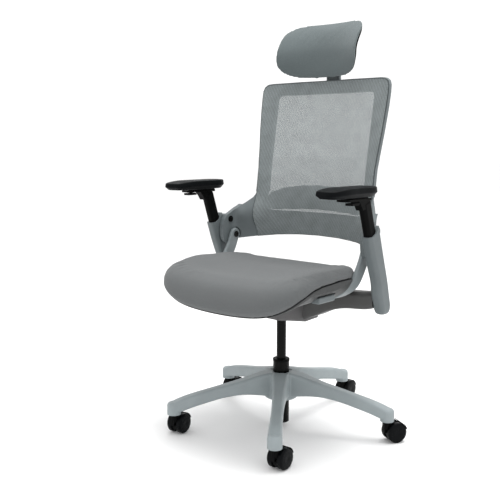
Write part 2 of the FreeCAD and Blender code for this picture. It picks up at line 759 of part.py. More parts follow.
def lower_pivot_bolts():
    bolts = []
    y, z = LOWER_PIVOT_Y, LOWER_PIVOT_Z
    outer = LINK_X + LINK_THICK / 2.0
    inner = LINK_X - LINK_THICK / 2.0
    for sign in SIDES.values():
        shank = rod((sign * (inner - 2.5), y, z), (sign * (outer + 14.0), y, z), 6.0)
        head = rod((sign * (inner - 2.5), y, z), (sign * inner, y, z), 9.5)
        socket = rod((sign * (inner - 3.5), y, z), (sign * (inner - 1.0), y, z), 4.0)
        bolts.append(shank.fuse(head).cut(socket).removeSplitter())
    return Part.makeCompound(bolts)


def seat_screws():
    screws = []
    for x, y in SCREW_POINTS:
        shank = Part.makeCylinder(3.0, 34.0, V(x, y, 406.0))
        head = Part.makeCylinder(6.0, 3.5, V(x, y, 406.0))
        screws.append(shank.fuse(head).removeSplitter())
    return Part.makeCompound(screws)


def hand_paddle():
    """Hand paddle under the sitter's left side, with its pivot pin."""
    body = box(223.0, 249.0, -158.0, -86.0, 429.0, 446.0)
    body = body.makeFillet(4.0, body.Edges)
    pin = rod((226.5, -161.5, 439.0), (226.5, -82.5, 439.0), 2.5)
    return body.fuse(pin).removeSplitter()


# ---------------------------------------------------------------- back

# Back surface by height: z, middle y, drop at x = 255, exponent of the curve.
BACK_SHAPE = [
    (515.0, 184.5, 107.0, 2.9),
    (555.0, 181.0, 107.0, 2.9),
    (590.0, 176.5, 107.0, 2.9),
    (620.0, 173.0, 106.0, 2.9),
    (645.0, 168.5, 82.0, 2.9),
    (670.0, 165.5, 56.0, 2.8),
    (700.0, 164.0, 42.0, 2.7),
    (760.0, 167.0, 33.0, 2.6),
    (840.0, 180.5, 29.0, 2.4),
    (920.0, 194.5, 27.0, 2.2),
    (980.0, 205.0, 26.5, 2.1),
    (1040.0, 214.5, 26.5, 2.0),
]


def back_y(x, z):
    """Front surface of the back at a point of the front view."""
    middle, drop, power = blend_between(BACK_SHAPE, z)
    return middle - drop * abs(x / 255.0) ** power


def curved_band(stations, half_width, front, depth):
    """Curved slab that follows the back, from its front offset through its depth."""
    wires = []
    steps = 12
    for z in stations:
        xs = [half_width * (2.0 * i / steps - 1.0) for i in range(steps + 1)]
        near = [V(x, back_y(x, z) + front, z) for x in xs]
        far = [V(x, back_y(x, z) + front + depth, z) for x in reversed(xs)]
        edges = [
            spline_edge(near),
            Part.LineSegment(near[-1], far[0]).toShape(),
            spline_edge(far),
            Part.LineSegment(far[-1], near[0]).toShape(),
        ]
        wires.append(Part.Wire(edges))
    return loft(wires)


def back_outline(bottom):
    """Front-view outline of the back, as a prism along Y."""
    right = [
        (216.0, bottom), (216.0, 760.0), (221.0, 820.0), (226.5, 880.0), (230.5, 940.0), (231.5, 980.0),
        (230.5, 1000.0), (226.0, 1012.0), (215.0, 1020.0), (198.0, 1022.0), (100.0, 1023.5),
    ]
    left = [(-x, z) for x, z in reversed(right)]
    return prism_y(right + left, 0, 400)


def opening_prism():
    half = OPENING_HALF_WIDTH
    points = [
        (half, 580), (half, OPENING_TOP_Z - 14), (half - 4, OPENING_TOP_Z - 4),
        (half - 14, OPENING_TOP_Z), (-half + 14, OPENING_TOP_Z),
        (-half + 4, OPENING_TOP_Z - 4), (-half, OPENING_TOP_Z - 14), (-half, 580),
    ]
    return prism_y(points, 0, 400)


UPPER_STATIONS = [BACK_JOINT_Z, 720.0, 760.0, 810.0, 860.0, 920.0, 980.0, 1010.0, 1040.0]


def back_frame():
    """Inverted U of the back: two rails and the top rail."""
    band = curved_band(UPPER_STATIONS, 245.0, FRAME_GAP, FRAME_DEPTH)
    return band.common(back_outline(BACK_JOINT_Z - 10)).cut(opening_prism())


def yoke_line(z):
    """Plan line of the yoke's front face, from the middle to the left cheek."""
    points = [(x, back_y(x, z) + FRAME_GAP) for x in (0, 50, 100, 140, 175, 205, 228, 243)]
    points.append((CHEEK_INNER_X - 1.5, 76.0 if z < 630 else points[-1][1] - 16.0))
    points += [(CHEEK_INNER_X, 56.0), (CHEEK_INNER_X, 36.0), (CHEEK_INNER_X, 10.0)]
    return points


def yoke_band(z):
    """Closed plan outline of the yoke at one height."""
    front = yoke_line(z)
    line = [V(-x, y, z) for x, y in reversed(front[1:])] + [V(x, y, z) for x, y in front]
    back = []
    for index, point in enumerate(line):
        before = line[max(index - 1, 0)]
        after = line[min(index + 1, len(line) - 1)]
        along = (after - before).normalize()
        cheek = min(max((abs(point.x) - 236.0) / 14.0, 0.0), 1.0)
        thick = MEMBER_THICK + (CHEEK_THICK - MEMBER_THICK) * cheek
        back.append(point + V(-along.y, along.x, 0) * thick)
    back.reverse()
    return Part.Wire([
        spline_edge(line),
        Part.LineSegment(line[-1], back[0]).toShape(),
        spline_edge(back),
        Part.LineSegment(back[-1], line[0]).toShape(),
    ])


# Side outline of the yoke: nose, top edge, rear and lower edge.
YOKE_SIDE = [
    (41.0, 614.0), (29.0, 600.0), (22.0, 585.0), (19.5, 568.0), (22.0, 548.0), (28.0, 534.0), (37.0, 526.0),
    (50.0, 526.0), (74.0, 535.5), (101.0, 539.0), (125.0, 542.7), (157.0, 548.5), (181.0, 555.0),
    (230.0, 557.0), (230.0, BACK_JOINT_Z), (140.0, BACK_JOINT_Z), (131.0, 667.0), (110.0, 651.0),
    (92.0, 639.0), (74.0, 628.0), (57.0, 620.0),
]


def back_yoke():
    """Lower frame of the back: two cheeks with pivot holes and the cross member."""
    band = loft([yoke_band(z) for z in (520.0, 555.0, 590.0, 620.0, 645.0, 670.0, BACK_JOINT_Z + 5)])
    body = band.common(prism_x(YOKE_SIDE, -300, 300))
    window = [
        (181, 642), (181, 740), (-181, 740), (-181, 642), (-174, 632), (-156, 626), (156, 626), (174, 632),
    ]
    body = body.cut(prism_y(window, 0, 400))
    side_trim = [(216, 678), (216, 690), (300, 690), (300, 630), (262, 625), (238, 648), (224, 664)]
    for sign in SIDES.values():
        body = body.cut(on_side(prism_y(side_trim, 100, 400), sign))
    pivots = [(UPPER_PIVOT_Y, UPPER_PIVOT_Z, 7.0 + RUNNING), (LOWER_PIVOT_Y, LOWER_PIVOT_Z, 7.6)]
    for y, z, radius in pivots:
        for sign in SIDES.values():
            body = body.cut(rod((sign * 240, y, z), (sign * 275, y, z), radius))
    eye_room = LINK_WIDTH / 2.0 + 8.0
    for sign in SIDES.values():
        inner = (sign * 215, LOWER_PIVOT_Y, LOWER_PIVOT_Z)
        outer = (sign * (CHEEK_INNER_X - 0.9), LOWER_PIVOT_Y, LOWER_PIVOT_Z)
        body = body.cut(rod(inner, outer, eye_room))
    return body


def back_mesh():
    """Mesh fabric stretched over the frame and the cross member."""
    return mesh_slab(0.0, MESH_THICK)


def mesh_slab(front, depth):
    """Slab with the mesh's outline, from its front offset through its depth."""
    stations = [540.0, 580.0, 620.0, 645.0, 670.0, 700.0] + UPPER_STATIONS[2:]
    band = curved_band(stations, 240.0, front, depth)
    right = [
        (203.0, 543.0), (207.0, 580.0), (211.0, 625.0), (213.0, 670.0), (214.0, 720.0), (214.0, 760.0),
        (219.0, 820.0), (224.5, 880.0), (228.5, 940.0), (229.5, 980.0), (228.5, 1000.0), (224.0, 1010.0),
        (213.0, 1018.0), (196.0, 1020.0), (100.0, 1021.5), (0.0, 1022.0),
    ]
    left = [(-x, z) for x, z in reversed(right[:-1])]
    lower = [(-150.0, 549.0), (-75.0, 554.0), (0.0, 556.0), (75.0, 554.0), (150.0, 549.0)]
    return band.common(prism_y(right + left + lower, 0, 400))


def lumbar_support():
    """Curved lumbar pad behind the mesh, hooked on the rails."""
    band = curved_band([620.0, 645.0, 670.0, 700.0, 740.0], 200.0, MESH_THICK + 1.0, 7.0)
    outline = [(177, 642), (177, 670), (165, 684), (120, 699), (60, 707), (0, 710)]
    left = [(-x, z) for x, z in reversed(outline[:-1])]
    lower = [(-171, 634), (-153, 629), (-110, 632), (0, 637), (110, 632), (153, 629), (171, 634)]
    return band.common(prism_y(outline + left + lower, 0, 400))


def headrest_bracket(frame):
    block = box(-36, 36, 218, 262, STEM_BOTTOM_Z - 1, 1020)
    rear_edges = [e for e in block.Edges if e.BoundBox.ZLength > 30 and e.BoundBox.YMin > 250]
    block = block.makeFillet(6.0, rear_edges)
    half = STEM_WIDTH / 2 + 0.5
    slot = box(-half, half, HINGE_Y - 0.5, HINGE_Y + STEM_THICK + 0.5, 950, 1030)
    solid = block.cut(frame).cut(slot)
    solids = sorted(solid.Solids, key=lambda s: s.CenterOfMass.y)
    return solids[-1]


def back_screws():
    screws = []
    for sign in SIDES.values():
        for x in (188.0, 205.0):
            y = back_y(x, BACK_JOINT_Z) + FRAME_GAP + MEMBER_THICK / 2.0 + 0.5
            screws.append(rod((sign * x, y, BACK_JOINT_Z - 15.0), (sign * x, y, BACK_JOINT_Z + 15.0), 2.5))
    return Part.makeCompound(screws)


# ---------------------------------------------------------------- headrest


def headrest_front(x, z):
    """Front surface of the headrest: wraps forward at the ends, rolls back at the top and bottom."""
    side = (x / 145.0) ** 2
    top_roll = (40.0 + 22.0 * side) * (max(z - 1100.0, 0.0) / 90.0) ** 1.5
    bottom_roll = (3.0 + 10.0 * side) * (max(1080.0 - z, 0.0) / 45.0) ** 1.5
    return 186.0 - 50.0 * side + top_roll + bottom_roll


def headrest_section(x, front_gap, depth, shrink):
    """Closed YZ outline of a pad layer at one x."""
    ratio = min(abs(x) / (HEADREST_HALF_WIDTH - shrink), 0.985)
    thick = depth * (1.0 - 0.5 * ratio ** 2)

    def point(t, offset):
        power = 5.0 if t > 0 else 4.0
        half = (HEADREST_HALF_HEIGHT - shrink) * (1.0 - ratio ** power) ** (1.0 / power)
        z = HEADREST_MID_Z + half * t
        return V(x, headrest_front(x, z) + front_gap + offset * thick, z)

    steps = (-0.96, -0.7, -0.35, 0.0, 0.35, 0.7, 0.96)
    near = [point(t, 0.35 * abs(t) ** 6) for t in steps]
    far = [point(t, 1.0 - 0.55 * abs(t) ** 6) for t in reversed(steps)]
    return closed_spline([point(-1.0, 0.4)] + near + [point(1.0, 0.4)] + far)


HEADREST_XS = (-142.0, -136.0, -120.0, -92.0, -48.0, 0.0, 48.0, 92.0, 120.0, 136.0, 142.0)


def headrest_cushion():
    return loft([headrest_section(x, 0.0, 27.0, 0.0) for x in HEADREST_XS])


def headrest_shell(cushion):
    """Rear cover of the headrest, with two ears for the hinge."""
    xs = [x * 0.955 for x in HEADREST_XS]
    layer = loft([headrest_section(x, 9.0, 24.0, 7.0) for x in xs])
    shell = layer.cut(cushion)
    shell = max(shell.Solids, key=lambda s: s.Volume)
    ears = []
    for x0, x1 in ((-33.0, -26.0), (26.0, 33.0)):
        knuckle = rod((x0, HINGE_Y + 5, HINGE_Z), (x1, HINGE_Y + 5, HINGE_Z), 8.0)
        tongue = box(x0, x1, 218.0, HINGE_Y + 5, HINGE_Z - 8, HINGE_Z + 8)
        ears.append(knuckle.fuse(tongue))
    solid = fuse([shell] + [ear.cut(cushion) for ear in ears])
    return solid.cut(rod((-40, HINGE_Y + 5, HINGE_Z), (40, HINGE_Y + 5, HINGE_Z), 3.0 + RUNNING))


def headrest_stem():
    """Flat stem behind the back, with the hinge pin at its top."""
    y0, y1 = HINGE_Y, HINGE_Y + STEM_THICK
    bar = box(-STEM_WIDTH / 2, STEM_WIDTH / 2, y0, y1, STEM_BOTTOM_Z, HINGE_Z)
    bar = bar.makeFillet(3.0, [e for e in bar.Edges if e.BoundBox.ZLength > 100])
    head = rod((-25.5, HINGE_Y + 5, HINGE_Z), (25.5, HINGE_Y + 5, HINGE_Z), 8.0)
    trimmed = bar.cut(box(-40, 40, 200, 300, HINGE_Z, HINGE_Z + 50))
    pin = rod((-35, HINGE_Y + 5, HINGE_Z), (35, HINGE_Y + 5, HINGE_Z), 3.0)
    return fuse([trimmed, head, pin])


# ---------------------------------------------------------------- all nodes


def base_nodes():
    nodes = {
        "star_base": star_base(),
        "column_tube": column_tube(),
        "column_bushing": column_bushing(),
        "column_rod": column_rod(),
        "column_clip": column_clip(),
        "caster_stems": caster_stems(),
    }
    pieces = {"hood": caster_hood(), "axle": caster_axle(), "wheels": caster_wheels()}
    for index, (x, y) in enumerate(stem_points(), start=1):
        swivel = CASTER_SWIVELS[index - 1]
        for piece, shape in pieces.items():
            swivelled = turned(shape, (0, 0, 0), Z_AXIS, swivel)
            nodes["caster_%d_%s" % (index, piece)] = moved(swivelled, x, y, 0)
    return nodes


def chassis_nodes():
    nodes = {
        "gas_cylinder": gas_cylinder(),
        "release_pin": release_pin(),
        "mechanism_cover": mechanism_cover(),
        "mechanism_housing": mechanism_housing(),
        "release_rocker": release_rocker(),
        "tilt_spring": tilt_spring(),
        "upper_pivot_bolts": upper_pivot_bolts(),
    }
    upright = arm_upright()
    beam = support_beam().cut(upright)
    for side, sign in SIDES.items():
        nodes["support_beam_" + side] = on_side(beam, sign)
        nodes["arm_upright_" + side] = on_side(upright, sign)
    return nodes


def arm_nodes():
    pieces = {
        "arm_post_": arm_post(),
        "arm_trigger_": arm_trigger(),
        "arm_slider_": arm_slider(),
        "arm_pad_": arm_pad(),
    }
    nodes = {}
    for name, shape in pieces.items():
        for side, sign in SIDES.items():
            nodes[name + side] = on_side(shape, sign)
    return nodes


def seat_nodes():
    envelope = seat_envelope()
    link = seat_link()
    board = seat_board()
    shell = seat_shell(envelope).cut(board)
    cushion = seat_cushion(envelope).cut(board)
    for sign in SIDES.values():
        link_room = on_side(link_bar(0.3), sign)
        shell = shell.cut(link_room)
        cushion = cushion.cut(link_room)
    nodes = {
        "seat_cushion": cushion.cut(shell),
        "seat_shell": shell,
        "seat_board": board,
        "seat_carrier": seat_carrier(),
        "seat_guide_pins": seat_guide_pins(),
        "lower_pivot_bolts": lower_pivot_bolts(),
        "seat_screws": seat_screws(),
        "tilt_lever": hand_paddle(),
        "height_lever": mirrored(hand_paddle()),
    }
    for side, sign in SIDES.items():
        nodes["seat_link_" + side] = on_side(link, sign)
    return nodes


def back_nodes():
    screws = back_screws()
    mesh_room = mesh_slab(-20.0, 20.0 + MESH_THICK + 0.1)
    frame = back_frame().cut(mesh_room).cut(screws)
    yoke = back_yoke().cut(mesh_room).cut(screws)
    cushion = headrest_cushion()
    return {
        "back_frame": frame,
        "back_yoke": yoke,
        "back_mesh": back_mesh(),
        "back_screws": screws,
        "lumbar_support": lumbar_support(),
        "headrest_bracket": headrest_bracket(frame),
        "headrest_stem": headrest_stem(),
        "headrest_shell": headrest_shell(cushion),
        "headrest_cushion": cushion,
    }


def main():
    os.makedirs("parts", exist_ok=True)
    groups = (base_nodes, chassis_nodes, arm_nodes, seat_nodes, back_nodes)
    for group in groups:
        for name, shape in group().items():
            shape.exportStep("parts/" + name + ".step")
            print(name, shape.isValid(), len(shape.Solids), round(shape.Volume / 980.0, 1))


main()
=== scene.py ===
import json
import math

import bmesh
import bpy
import numpy as np
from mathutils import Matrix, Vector
from mathutils.bvhtree import BVHTree


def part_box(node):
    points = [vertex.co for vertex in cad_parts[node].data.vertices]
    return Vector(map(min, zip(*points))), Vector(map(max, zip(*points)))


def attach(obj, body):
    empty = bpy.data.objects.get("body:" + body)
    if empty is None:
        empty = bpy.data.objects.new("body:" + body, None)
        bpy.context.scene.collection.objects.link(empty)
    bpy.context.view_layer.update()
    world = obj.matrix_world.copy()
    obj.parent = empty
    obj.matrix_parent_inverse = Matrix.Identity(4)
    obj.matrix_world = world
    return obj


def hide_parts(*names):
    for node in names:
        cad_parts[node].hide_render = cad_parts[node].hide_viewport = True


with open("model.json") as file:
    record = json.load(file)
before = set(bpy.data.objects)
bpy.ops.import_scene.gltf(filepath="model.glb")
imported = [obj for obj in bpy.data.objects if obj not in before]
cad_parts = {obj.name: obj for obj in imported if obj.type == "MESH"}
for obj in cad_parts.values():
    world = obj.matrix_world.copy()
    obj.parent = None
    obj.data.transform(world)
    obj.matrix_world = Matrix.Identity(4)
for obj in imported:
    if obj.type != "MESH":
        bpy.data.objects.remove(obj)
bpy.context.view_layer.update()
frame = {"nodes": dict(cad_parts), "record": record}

# Office chair with a mesh back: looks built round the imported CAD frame, in metres.

NODES = frame["nodes"]
scene = bpy.context.scene

# Driving sizes.
SEAT_VOXEL = 0.004
HEADREST_VOXEL = 0.0035
PAD_VOXEL = 0.0016
PAD_CROWN = 0.002
PAD_DROOP = 0.007
MESH_ROWS = 120
MESH_COLUMNS = 96
MESH_HALF_WIDTH = 0.2145
MESH_CORNER_RISE = 0.0145
MESH_MIDDLE_SHARE = 0.35
# Radius of the dark tube round the back mesh, painted shade for the gap to the frame.
GAP_SHADE_RADIUS = 0.0009
CLOTH_FRAMES = 20
CREASE_ANGLE = 32

# Stage and camera.
FLOOR_REACH = 30
SKY_STRENGTH = 1.13
KEY_PLACE = (0.25, 0.35, 3.3)
KEY_TARGET = (0.0, 0.0, 0.4)
KEY_SIZE = 1.8
KEY_POWER = 90.0
CAMERA_PLACE = (1.3573, -1.6930, 0.8417)
CAMERA_DIRECTION = (-0.6515, 0.7452, -0.1423)
CAMERA_LENS = 54.39
SENSOR_WIDTH = 36.0


# ---------------------------------------------------------------- mesh helpers


def add_object(name, mesh):
    ob = bpy.data.objects.new(name, mesh)
    scene.collection.objects.link(ob)
    return ob


def baked(ob):
    """Applies every modifier on the object."""
    bpy.context.view_layer.update()
    graph = bpy.context.evaluated_depsgraph_get()
    mesh = bpy.data.meshes.new_from_object(ob.evaluated_get(graph))
    ob.modifiers.clear()
    ob.data = mesh
    return ob


def co_array(mesh):
    co = np.zeros(len(mesh.vertices) * 3)
    mesh.vertices.foreach_get("co", co)
    return co.reshape(-1, 3)


def normal_array(mesh):
    no = np.zeros(len(mesh.vertices) * 3)
    mesh.vertices.foreach_get("normal", no)
    return no.reshape(-1, 3)


def set_co(mesh, co):
    mesh.vertices.foreach_set("co", np.asarray(co, np.float32).ravel())
    mesh.update()


def shade_smooth(mesh):
    mesh.polygons.foreach_set("use_smooth", np.ones(len(mesh.polygons), bool))


def remeshed_copy(node, name, voxel, smoothing):
    """Even, softened skin over a CAD solid, as a new object."""
    ob = add_object(name, NODES[node].data.copy())
    ob.data.materials.clear()
    weld = ob.modifiers.new("weld", "WELD")
    weld.merge_threshold = 1e-5
    skin = ob.modifiers.new("skin", "REMESH")
    skin.mode = "VOXEL"
    skin.voxel_size = voxel
    soft = ob.modifiers.new("soft", "SMOOTH")
    soft.factor = 0.5
    soft.iterations = smoothing
    baked(ob)
    shade_smooth(ob.data)
    return ob


def puffed(ob, pressure, shrink, cap, pinned):
    """Blows the skin up as cloth from a slightly smaller shape, no point moving further than cap."""
    full = co_array(ob.data)
    start = full - normal_array(ob.data) * shrink
    set_co(ob.data, start)
    group = ob.vertex_groups.new(name="pin")
    for index in np.nonzero(pinned(full, normal_array(ob.data)))[0]:
        group.add([int(index)], 1.0, "REPLACE")
    cloth = ob.modifiers.new("cloth", "CLOTH")
    settings = cloth.settings
    settings.quality = 5
    settings.mass = 0.2
    settings.tension_stiffness = 12
    settings.compression_stiffness = 12
    settings.shear_stiffness = 6
    settings.bending_stiffness = 1.5
    settings.use_pressure = True
    settings.uniform_pressure_force = pressure
    settings.vertex_group_mass = "pin"
    settings.effector_weights.gravity = 0.0
    cloth.point_cache.frame_start = 1
    cloth.point_cache.frame_end = CLOTH_FRAMES
    for step in range(1, CLOTH_FRAMES + 1):
        scene.frame_set(step)
    bpy.context.view_layer.update()
    graph = bpy.context.evaluated_depsgraph_get()
    result = co_array(ob.evaluated_get(graph).data)
    ob.modifiers.clear()
    ob.vertex_groups.clear()
    scene.frame_set(1)
    move = result - start
    length = np.linalg.norm(move, axis=1, keepdims=True)
    set_co(ob.data, start + move * np.minimum(1.0, cap / np.maximum(length, 1e-9)))
    return ob


def subdivided(ob):
    sub = ob.modifiers.new("sub", "SUBSURF")
    sub.levels = 1
    sub.render_levels = 1
    baked(ob)
    shade_smooth(ob.data)
    return ob


def smooth_by_angle(node, degrees):
    """Smooth shading over a CAD node, with creases kept at its edges."""
    mesh = NODES[node].data
    shade_smooth(mesh)
    mesh.set_sharp_from_angle(angle=math.radians(degrees))


# ---------------------------------------------------------------- materials


class Shader:
    """Small helper for building one node material."""

    def __init__(self, name):
        self.material = bpy.data.materials.new(name)
        self.material.use_nodes = True
        self.tree = self.material.node_tree
        self.bsdf = self.tree.nodes["Principled BSDF"]
        self.coords = self.add("ShaderNodeTexCoord").outputs["Object"]

    def add(self, kind, **inputs):
        node = self.tree.nodes.new(kind)
        for key, value in inputs.items():
            setattr(node, key, value)
        return node

    def link(self, source, target):
        self.tree.links.new(source, target)

    def math(self, operation, a, b=0.0, c=0.0):
        node = self.add("ShaderNodeMath", operation=operation)
        for socket, value in zip(node.inputs, (a, b, c)):
            if isinstance(value, (int, float)):
                socket.default_value = value
            else:
                self.link(value, socket)
        return node.outputs[0]

    def noise(self, scale, detail=2.0, roughness=0.5, coords=None):
        node = self.add("ShaderNodeTexNoise")
        node.inputs["Scale"].default_value = scale
        node.inputs["Detail"].default_value = detail
        node.inputs["Roughness"].default_value = roughness
        self.link(coords or self.coords, node.inputs["Vector"])
        return node.outputs["Fac"]

    def ramp(self, value, low, high, color_low, color_high):
        node = self.add("ShaderNodeValToRGB")
        node.color_ramp.elements[0].position = low
        node.color_ramp.elements[1].position = high
        node.color_ramp.elements[0].color = (*color_low, 1.0)
        node.color_ramp.elements[1].color = (*color_high, 1.0)
        self.link(value, node.inputs["Fac"])
        return node.outputs["Color"]

    def remap(self, value, low, high, out_low, out_high):
        node = self.add("ShaderNodeMapRange")
        limits = {"From Min": low, "From Max": high, "To Min": out_low, "To Max": out_high}
        for key, number in limits.items():
            node.inputs[key].default_value = number
        self.link(value, node.inputs["Value"])
        return node.outputs[0]

    def bump(self, height, strength, distance, normal=None):
        node = self.add("ShaderNodeBump")
        node.inputs["Strength"].default_value = strength
        node.inputs["Distance"].default_value = distance
        self.link(height, node.inputs["Height"])
        if normal is not None:
            self.link(normal, node.inputs["Normal"])
        return node.outputs["Normal"]

    def set(self, **values):
        for key, value in values.items():
            self.bsdf.inputs[key.replace("_", " ")].default_value = value
        return self


def scaled(color, k):
    return tuple(min(1.0, c * k) for c in color)


def moulded(name, color, roughness, grain=900.0, grain_depth=0.00006, gloss=0.4):
    """Moulded plastic or painted metal: fine grain, faint cloudiness and slightly uneven gloss."""
    s = Shader(name)
    tint = s.ramp(s.noise(14.0, 3.0), 0.3, 0.7, scaled(color, 0.94), scaled(color, 1.06))
    s.link(tint, s.bsdf.inputs["Base Color"])
    wear = s.remap(s.noise(60.0, 2.0), 0.3, 0.7, roughness - 0.05, roughness + 0.06)
    s.link(wear, s.bsdf.inputs["Roughness"])
    rounded = s.add("ShaderNodeBevel", samples=4)
    rounded.inputs["Radius"].default_value = 0.0012
    relief = s.bump(s.noise(grain, 2.0), 0.5, grain_depth, rounded.outputs[0])
    s.link(relief, s.bsdf.inputs["Normal"])
    s.set(Specular_IOR_Level=gloss)
    return s.material


def brushed(name, color, roughness):
    """Turned or zinc plated steel with fine lines round it."""
    s = Shader(name)
    mapping = s.add("ShaderNodeMapping")
    mapping.inputs["Scale"].default_value = (60.0, 60.0, 1400.0)
    s.link(s.coords, mapping.inputs["Vector"])
    lines = s.noise(1.0, 2.0, 0.5, mapping.outputs[0])
    tint = s.ramp(lines, 0.3, 0.7, scaled(color, 0.85), scaled(color, 1.1))
    s.link(tint, s.bsdf.inputs["Base Color"])
    s.link(s.remap(lines, 0.3, 0.7, roughness - 0.06, roughness + 0.08), s.bsdf.inputs["Roughness"])
    s.link(s.bump(lines, 0.3, 0.00003), s.bsdf.inputs["Normal"])
    s.set(Metallic=1.0)
    return s.material


def knit(name, color, pitch, contrast, depth):
    """Close knit upholstery: small staggered stitches with flecks of a lighter yarn."""
    s = Shader(name)
    split = s.add("ShaderNodeSeparateXYZ")
    s.link(s.coords, split.inputs[0])
    x, y, z = split.outputs
    run = s.math("ADD", y, s.math("MULTIPLY", z, 0.8))
    k = 2 * math.pi / pitch
    rib = s.math("SINE", s.math("MULTIPLY", x, k))
    stitch = s.math("SINE", s.math("MULTIPLY", run, k))
    weave = s.math("MULTIPLY", rib, stitch)
    fleck = s.noise(420.0, 2.0, 0.6)
    cloud = s.noise(9.0, 3.0)
    mix = s.math("ADD", s.math("MULTIPLY", weave, 0.14), s.math("MULTIPLY", fleck, 0.72))
    mix = s.math("ADD", mix, s.math("MULTIPLY", cloud, 0.28))
    tint = s.ramp(mix, 0.22, 0.78, scaled(color, 1 - contrast), scaled(color, 1 + contrast))
    s.link(tint, s.bsdf.inputs["Base Color"])
    height = s.math("ADD", s.math("MULTIPLY", weave, 0.5), s.math("MULTIPLY", fleck, 0.8))
    s.link(s.bump(height, 0.6, depth), s.bsdf.inputs["Normal"])
    s.set(Roughness=0.92, Sheen_Weight=0.12, Sheen_Roughness=0.5, Specular_IOR_Level=0.2)
    return s.material


def open_mesh(name, color, pitch, cover):
    """Stretched mesh: threads in two slanting directions with holes between them."""
    s = Shader(name)
    uv = s.add("ShaderNodeUVMap", uv_map="weave").outputs[0]
    split = s.add("ShaderNodeSeparateXYZ")
    s.link(uv, split.inputs[0])
    u, v, _ = split.outputs
    waves = []
    for lean in (0.55, -0.55):
        across = s.math("ADD", u, s.math("MULTIPLY", v, lean))
        waves.append(s.math("SINE", s.math("MULTIPLY", across, 2 * math.pi / pitch)))
    holes = s.math("MULTIPLY", waves[0], waves[1])
    solid = s.remap(holes, cover - 0.12, cover + 0.12, 1.0, 0.0)
    slow = s.noise(30.0, 2.0, 0.5, uv)
    fleck = s.noise(700.0, 2.0, 0.5, uv)
    slant = s.math("ADD", u, s.math("MULTIPLY", v, 0.62))
    twill = s.math("SINE", s.math("MULTIPLY", slant, 2 * math.pi / 0.0105))
    tone = s.math("ADD", s.math("MULTIPLY", slow, 0.45), s.math("MULTIPLY", fleck, 0.45))
    tone = s.math("ADD", tone, s.math("MULTIPLY", twill, 0.1))
    tint = s.ramp(tone, 0.25, 0.7, scaled(color, 0.78), scaled(color, 1.2))
    s.link(tint, s.bsdf.inputs["Base Color"])
    s.link(solid, s.bsdf.inputs["Alpha"])
    s.link(s.bump(s.math("ADD", waves[1], waves[0]), 0.4, 0.0002), s.bsdf.inputs["Normal"])
    s.set(Roughness=0.8, Sheen_Weight=0.1, Specular_IOR_Level=0.2)
    return s.material


GREY = (0.12, 0.138, 0.143)
MATERIALS = {
    "grey_plastic": moulded("moulded grey plastic", GREY, 0.45, gloss=0.3),
    # Star base: a brighter copy of the frame grey, painted light for a base lit more strongly than the
    # rest of the frame.
    "base_grey": moulded("star base grey with painted light", (0.265, 0.3, 0.31), 0.42, gloss=0.3),
    "shell_grey": moulded("grey seat tray", (0.05, 0.052, 0.052), 0.5, gloss=0.2),
    "grey_metal": moulded("grey painted bar", (0.175, 0.198, 0.205), 0.38, 700.0, 0.00004, 0.3),
    "dark_metal": moulded("dark grey die casting", (0.062, 0.062, 0.061), 0.45, 500.0, 0.0001, 0.3),
    "black_metal": moulded("black lacquered steel", (0.003, 0.0032, 0.003), 0.28, 1200.0, 0.00002, 0.08),
    "steel": brushed("zinc plated steel", (0.4, 0.4, 0.39), 0.34),
    "dark_plastic": moulded("dark grey plastic", (0.088, 0.086, 0.087), 0.5, gloss=0.25),
    "black_plastic": moulded("black moulded plastic", (0.003, 0.0032, 0.0032), 0.42, gloss=0.04),
    "caster_black": moulded("black caster plastic", (0.0025, 0.003, 0.0035), 0.26, gloss=0.06),
    "pad_black": moulded("soft black arm pad", (0.0035, 0.0042, 0.0048), 0.46, 1600.0, 0.00008, 0.04),
    "seat_fabric": knit("grey seat knit", (0.108, 0.114, 0.116), 0.0022, 0.14, 0.0004),
    "headrest_fabric": knit("grey headrest knit", (0.1, 0.119, 0.122), 0.0022, 0.14, 0.0004),
    "mesh_fabric": open_mesh("open back mesh", (0.215, 0.24, 0.243), 0.0032, 0.58),
    "lumbar_grey": moulded("grey lumbar plastic", (0.3, 0.33, 0.34), 0.5),
    "plywood": moulded("plywood board", (0.42, 0.3, 0.2), 0.6, 200.0, 0.0002),
}
# Colour of the dark tube round the back mesh: painted shade for the gap between mesh and frame.
GAP_SHADE_TRIM = moulded("painted gap shade trim", (0.06, 0.07, 0.073), 0.6, gloss=0.2)


def dress(ob, slot):
    ob.data.materials.clear()
    ob.data.materials.append(MATERIALS[slot])


for part in frame["record"]["subparts"]:
    ob = NODES[part["node"]]
    ob.data.materials.clear()
    ob.data.materials.append(MATERIALS[part["material_slot"]])
    smooth_by_angle(part["node"], CREASE_ANGLE)


# ---------------------------------------------------------------- seat and headrest


def seat_underside(full, normals):
    return normals[:, 2] < -0.25


def make_seat():
    ob = remeshed_copy("seat_cushion", "seat_pad", SEAT_VOXEL, 3)
    puffed(ob, 4.0, 0.002, 0.003, seat_underside)
    subdivided(ob)
    dress(ob, "seat_fabric")
    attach(ob, "seat")
    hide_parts("seat_cushion")
    return ob


def headrest_back(full, normals):
    return normals[:, 1] > 0.2


def make_headrest():
    ob = remeshed_copy("headrest_cushion", "headrest_pad", HEADREST_VOXEL, 3)
    puffed(ob, 4.0, 0.0015, 0.003, headrest_back)
    subdivided(ob)
    dress(ob, "headrest_fabric")
    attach(ob, "headrest")
    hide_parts("headrest_cushion")
    return ob


# ---------------------------------------------------------------- back mesh


def node_tree(node):
    """Ray target made of a CAD node's own surface."""
    mesh = NODES[node].data
    polygons = [tuple(p.vertices) for p in mesh.polygons]
    return BVHTree.FromPolygons([v.co.copy() for v in mesh.vertices], polygons)


